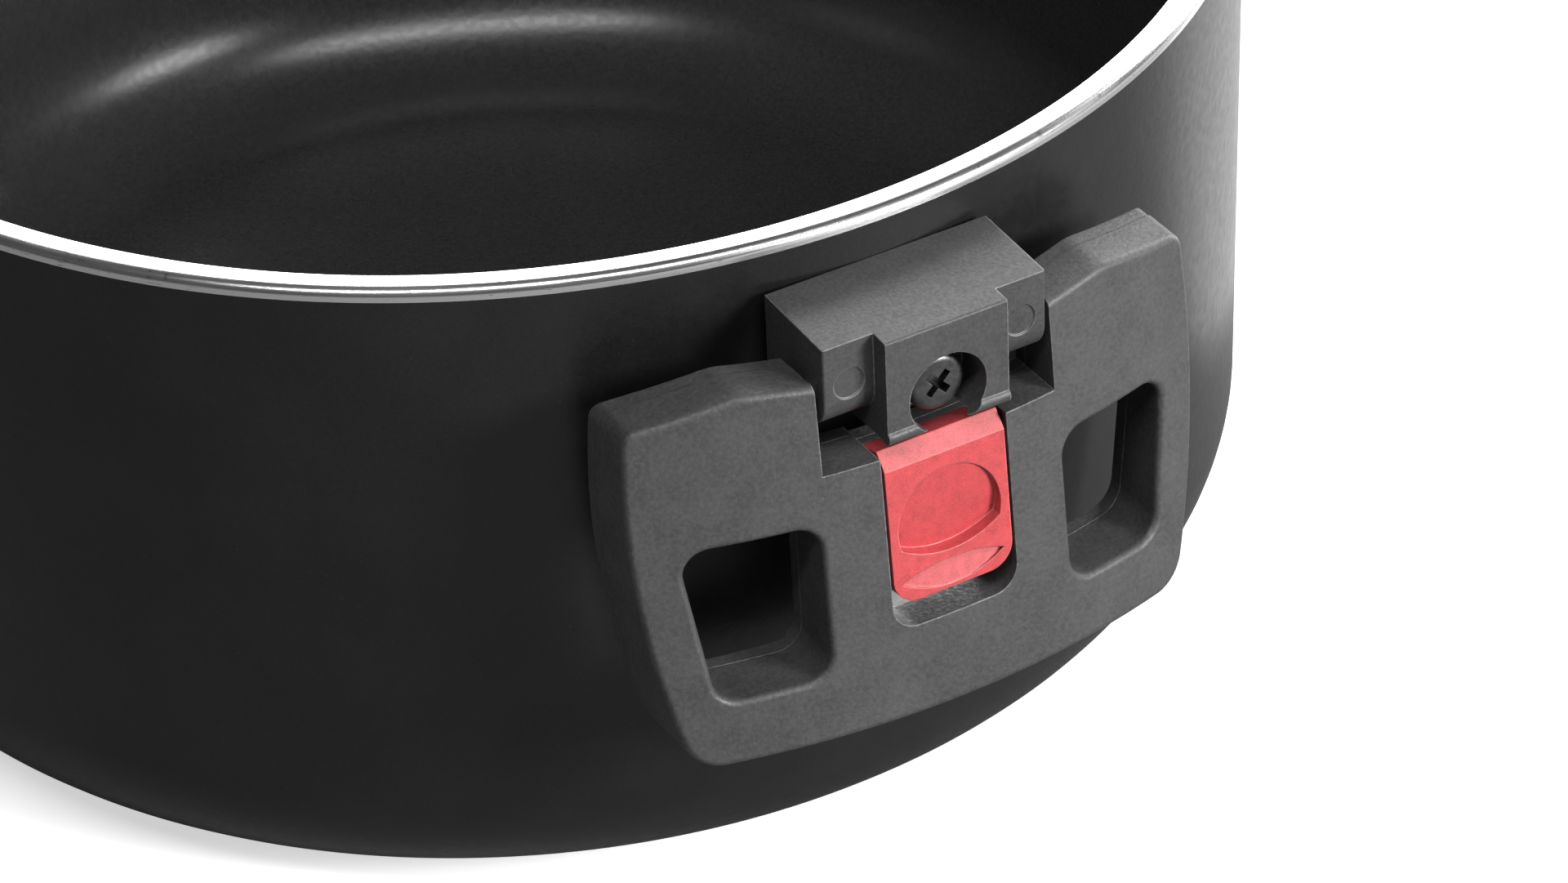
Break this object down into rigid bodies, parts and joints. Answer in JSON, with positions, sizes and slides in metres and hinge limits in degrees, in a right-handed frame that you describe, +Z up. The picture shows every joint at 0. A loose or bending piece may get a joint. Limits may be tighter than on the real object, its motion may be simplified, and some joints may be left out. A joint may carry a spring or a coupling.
{
  "type": "slow cooker cooking pot",
  "caption": "Round aluminium cooking pot of a slow cooker with a bare turned rim, a steel base disc and fold-out side handles that unlock with a spring-loaded slide.",
  "frame": {"origin": "centre of the pot's underside, where the base disc rests", "axes": "+Z up along the pot's axis, -Y towards the front handle, +Y towards the rear handle"},
  "size_m": [0.24, 0.2824, 0.114],
  "materials": {
    "pot_aluminium": "bare turned casting, seen at the rim; coated black elsewhere",
    "outer_coat": "satin black coating with fine grain",
    "inner_coat": "black non-stick coating, soft sheen",
    "base_steel": "turned ferritic steel",
    "bracket_plastic": "fine spark-eroded texture",
    "handle_plastic": "fine spark-eroded texture",
    "red_plastic": "smooth satin",
    "plate_steel": "plain sheet",
    "spring_steel": "drawn wire",
    "screw_steel": "dark zinc",
    "bare_steel": "bright steel"
  },
  "bodies": {
    "pot": {"pot_shell": "pot_aluminium", "base_disc": "base_steel", "front_bracket": "bracket_plastic", "front_weld_stud": "bare_steel", "front_bracket_screw": "screw_steel", "front_lock_washer": "bare_steel", "front_hinge_pin_left": "bare_steel", "front_hinge_pin_right": "bare_steel", "rear_bracket": "bracket_plastic", "rear_weld_stud": "bare_steel", "rear_bracket_screw": "screw_steel", "rear_lock_washer": "bare_steel", "rear_hinge_pin_left": "bare_steel", "rear_hinge_pin_right": "bare_steel"},
    "front_handle": {"front_handle_shell": "handle_plastic", "front_handle_back": "handle_plastic", "front_slide_plate": "plate_steel", "front_slide_spring": "spring_steel", "front_cover_screws": "screw_steel"},
    "front_slide": {"front_release_slide": "red_plastic"},
    "rear_handle": {"rear_handle_shell": "handle_plastic", "rear_handle_back": "handle_plastic", "rear_slide_plate": "plate_steel", "rear_slide_spring": "spring_steel", "rear_cover_screws": "screw_steel"},
    "rear_slide": {"rear_release_slide": "red_plastic"}
  },
  "joints": [
    {"name": "front_handle_fold", "type": "hinge", "parent": "pot", "child": "front_handle", "pos_m": [0, -0.1303, 0.0965], "axis": [-1, 0, 0], "range_deg": [0, 90]},
    {"name": "front_slide_release", "type": "slide", "parent": "front_handle", "child": "front_slide", "axis": [0, -0.0906, -0.9959], "range_m": [0, 0.0035], "stiffness_N_per_m": 400, "springref_m": -0.004, "deforming": ["front_slide_spring"]},
    {"name": "rear_handle_fold", "type": "hinge", "parent": "pot", "child": "rear_handle", "pos_m": [0, 0.1303, 0.0965], "axis": [1, 0, 0], "range_deg": [0, 90]},
    {"name": "rear_slide_release", "type": "slide", "parent": "rear_handle", "child": "rear_slide", "axis": [0, 0.0906, -0.9959], "range_m": [0, 0.0035], "stiffness_N_per_m": 400, "springref_m": -0.004, "deforming": ["rear_slide_spring"]}
  ]
}
